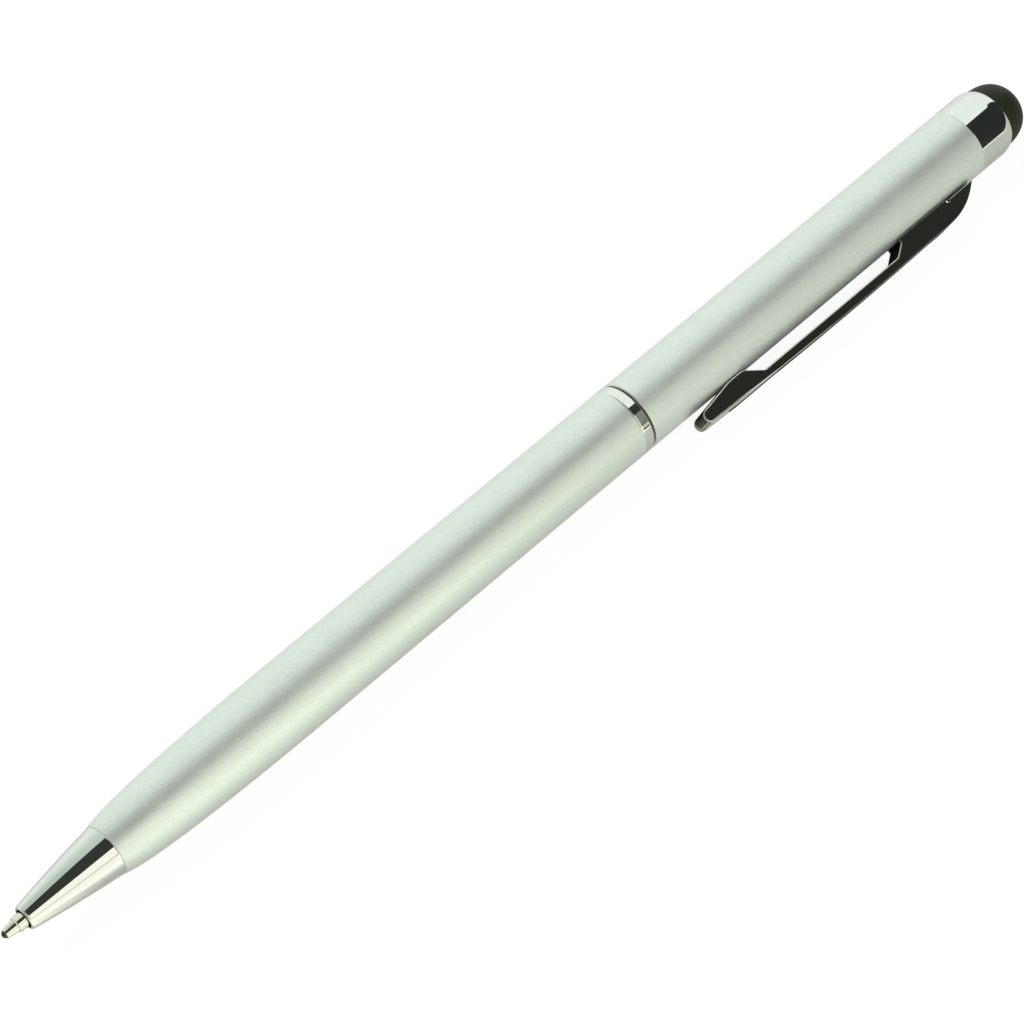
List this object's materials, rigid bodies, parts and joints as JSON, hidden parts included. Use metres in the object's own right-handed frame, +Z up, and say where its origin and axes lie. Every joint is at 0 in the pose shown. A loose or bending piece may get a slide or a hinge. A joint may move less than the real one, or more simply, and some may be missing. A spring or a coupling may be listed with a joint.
{
  "type": "twist ballpoint pen with stylus end",
  "caption": "Slim twist-action ballpoint pen with lacquered barrels, a chromed nose, band and sheet clip, and a black rubber stylus dome; turning the upper barrel draws the point in.",
  "frame": {"origin": "on the pen's axis, halfway along the straight stretch of the lower barrel", "axes": "+X along the pen's axis towards the stylus dome, +Z up with the pen lying on a flat surface"},
  "size_m": [0.1363, 0.0098, 0.0075],
  "materials": {
    "barrel_lacquer": "satin pearl lacquer on drawn brass tube",
    "chrome_plate": "polished chrome on turned brass",
    "clip_chrome": "polished chrome on bent steel sheet",
    "black_rubber": "matte moulded rubber",
    "brass": "turned and drawn, bare",
    "white_acetal": "moulded, unpainted",
    "black_plastic": "moulded, unpainted",
    "steel": "ground wire and stamped strip",
    "nickel_silver": "turned, bright",
    "carbide": "ground ball",
    "ink": "thick paste ink, modelled as a solid column"
  },
  "bodies": {
    "lower_half": {"nose_cone": "chrome_plate", "lower_barrel": "barrel_lacquer", "centre_band": "chrome_plate", "housing_bush": "brass", "mechanism_housing": "brass", "retaining_ring": "steel", "friction_ring": "black_rubber"},
    "upper_half": {"upper_barrel": "barrel_lacquer", "grip_liner": "white_acetal", "cam_sleeve": "white_acetal", "clip_anchor": "white_acetal", "stylus_collar": "chrome_plate", "stylus_core": "black_plastic", "stylus_dome": "black_rubber"},
    "clip": {"clip": "clip_chrome"},
    "refill": {"refill_tube": "brass", "refill_point": "nickel_silver", "ink": "ink", "refill_plug": "black_plastic", "carrier": "white_acetal", "carrier_pin": "steel"},
    "ball": {"writing_ball": "carbide"}
  },
  "joints": [
    {"name": "twist", "type": "hinge", "parent": "lower_half", "child": "upper_half", "pos_m": [0, 0, 0], "axis": [1, 0, 0], "range_deg": [0, 180]},
    {"name": "refill_slide", "type": "slide", "parent": "lower_half", "child": "refill", "axis": [1, 0, 0], "range_m": [0, 0.005]},
    {"name": "clip_flex", "type": "hinge", "parent": "upper_half", "child": "clip", "pos_m": [0.06845, -0.00345, -0.00146], "axis": [0, -0.3904, 0.9206], "range_deg": [0, 3], "stiffness_Nm_per_rad": 2, "springref_deg": -1.72},
    {"name": "ball_roll", "type": "hinge", "parent": "refill", "child": "ball", "pos_m": [-0.05675, 0, 0], "axis": [0, 1, 0], "continuous": true}
  ],
  "couplings": [
    {"joint": "twist", "follows": "refill_slide", "rad_per_m": 628.31}
  ]
}
